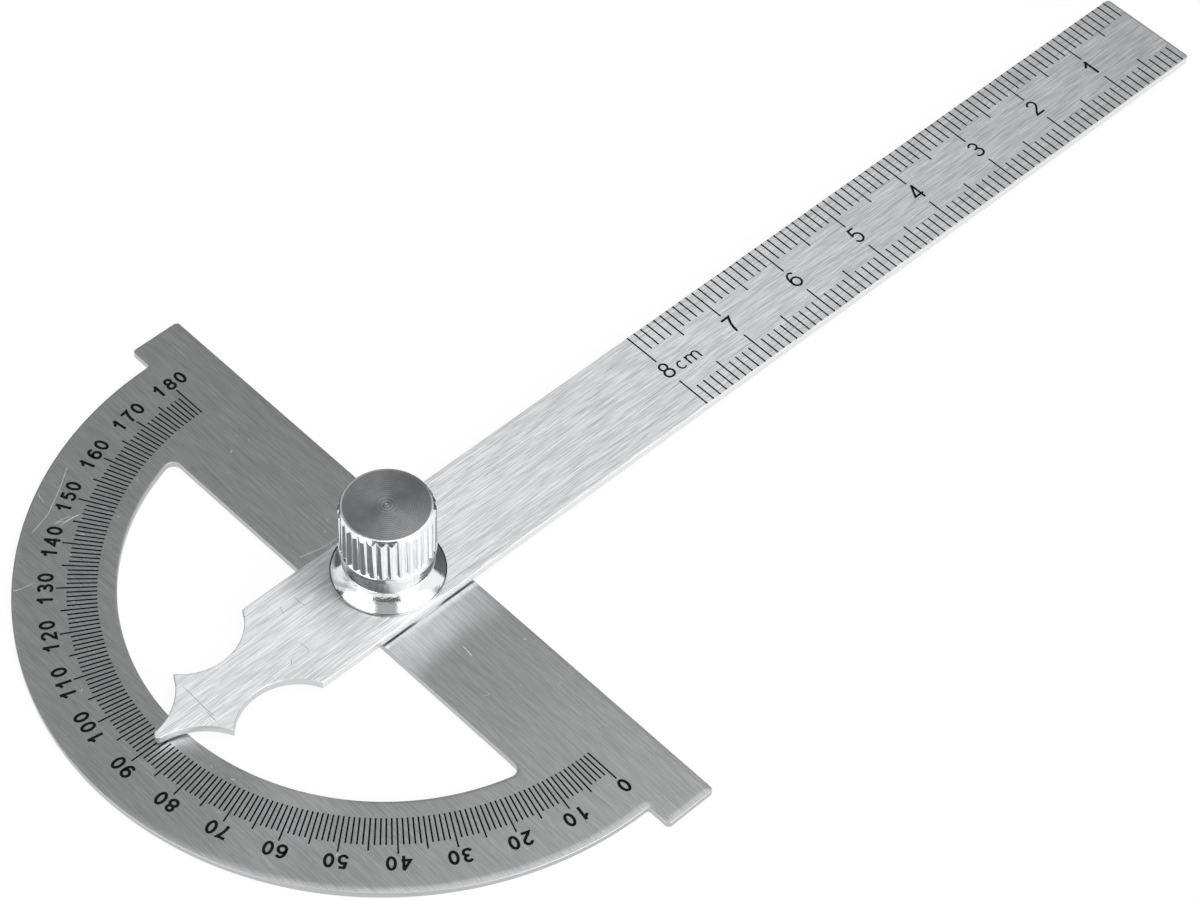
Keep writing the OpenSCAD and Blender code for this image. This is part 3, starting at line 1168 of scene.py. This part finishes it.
def make_light():
    """Soft light from the right, the front and overhead, dim to the left and behind.

    A dark panel stands low on the left, and a dark stand in front, for the chrome to mirror.
    """
    world = bpy.data.worlds.new("soft_studio")
    bpy.context.scene.world = world
    world.use_nodes = True
    tree = world.node_tree
    tree.nodes.clear()
    direction = add(tree, "ShaderNodeTexCoord").outputs["Generated"]
    x, y, z = add(tree, "ShaderNodeSeparateXYZ", {"Vector": direction}).outputs

    def ramp(value, start, end, low, high, soft=True):
        kind = "SMOOTHSTEP" if soft else "LINEAR"
        return add(tree, "ShaderNodeMapRange", {
            "Value": value, "From Min": start, "From Max": end, "To Min": low, "To Max": high,
        }, interpolation_type=kind).outputs[0]

    def combined(operation, a, b):
        return add(tree, "ShaderNodeMath", {0: a, 1: b}, operation=operation).outputs[0]

    # Brighter to the right; in front it is dim above, and bright low down also to the left
    front = ramp(y, -0.15, -0.5, 0, 1)
    low_front = combined("MULTIPLY", front, ramp(z, 0.68, 0.5, 0, 1))
    high_front = combined("SUBTRACT", front, low_front)
    across = combined("ADD", x, combined("MULTIPLY", low_front, 0.45))
    left_end = ramp(across, -0.6, -0.45, 0.2, 0, soft=False)
    middle = ramp(across, -0.45, -0.25, 0.29, 1.8, soft=False)
    right_side = ramp(across, -0.25, 0.5, 0, 1.3, soft=False)
    level = combined("ADD", combined("ADD", middle, left_end), right_side)
    level = combined("MULTIPLY", level, ramp(x, -0.9, -0.6, 0.4, 1.0))
    level = combined("MULTIPLY", level, ramp(y, 0.3, 0.8, 1.0, 0.1))
    level = combined("MULTIPLY", level, ramp(high_front, 0, 1, 1, 0.2, soft=False))
    # Dimmer straight overhead, so that the steel keeps its grey when seen from above
    level = combined("MULTIPLY", level, ramp(z, 0.91, 0.98, 1.0, 0.5))

    flat = add(tree, "ShaderNodeVectorMath", {
        0: direction, 1: (1, 1, 0),
    }, operation="MULTIPLY").outputs[0]
    flat = add(tree, "ShaderNodeVectorMath", {0: flat}, operation="NORMALIZE").outputs[0]

    def facing(side, start, end, low, high):
        """A ramp by how nearly a direction on the ground points to one side."""
        toward = add(tree, "ShaderNodeVectorMath", {
            0: flat, 1: side,
        }, operation="DOT_PRODUCT").outputs["Value"]
        return ramp(toward, start, end, low, high)

    # A dark panel low on the left
    left = (-0.866, -0.5, 0)
    side_panel = combined("MAXIMUM", facing(left, 0.80, 0.92, 5, 0.09), ramp(z, 0.45, 0.6, 0, 5))
    level = combined("MINIMUM", level, side_panel)

    # A stand in front: a wide black foot low down, and a narrower grey panel above it
    ahead = (0.704, -0.71, 0)
    foot = combined("MULTIPLY", facing(ahead, 0.84, 0.92, 0, 1), ramp(z, 0.09, 0.16, 0.97, 0))
    panel = combined("MULTIPLY", facing(ahead, 0.87, 0.97, 0, 1), ramp(z, 0.84, 0.92, 0.86, 0))
    stand = combined("MAXIMUM", foot, panel)
    level = combined("MULTIPLY", level, ramp(stand, 0, 1, 1, 0, soft=False))
    sky = add(tree, "ShaderNodeBackground", {"Color": linear("#ffffff"), "Strength": level})
    add(tree, "ShaderNodeOutputWorld", {"Surface": sky.outputs[0]})


def make_camera():
    """The photograph's view, fitted to the scales on the gauge. It is in metres."""
    data = bpy.data.cameras.new("camera")
    data.sensor_width = 36
    data.lens = 121.446
    data.clip_start = 0.01
    data.clip_end = 100
    right = Vector((0.68801, 0.72526, 0.02515))
    up = Vector((-0.57258, 0.52123, 0.63282))
    ahead = Vector((-0.44585, 0.44979, -0.77389))
    turn = Matrix((right, up, -ahead)).transposed().to_4x4()
    camera = bpy.data.objects.new("camera", data)
    camera.matrix_world = Matrix.Translation((0.19925, -0.16992, 0.34237)) @ turn
    bpy.context.scene.collection.objects.link(camera)
    bpy.context.scene.camera = camera


make_plate()
make_degree_scale()
make_arm()
make_rule_scale()
make_scratches()
make_stud()
dress_spacer()
make_nut()
make_floor()
make_light()
make_camera()
bpy.context.scene.view_settings.view_transform = "Standard"
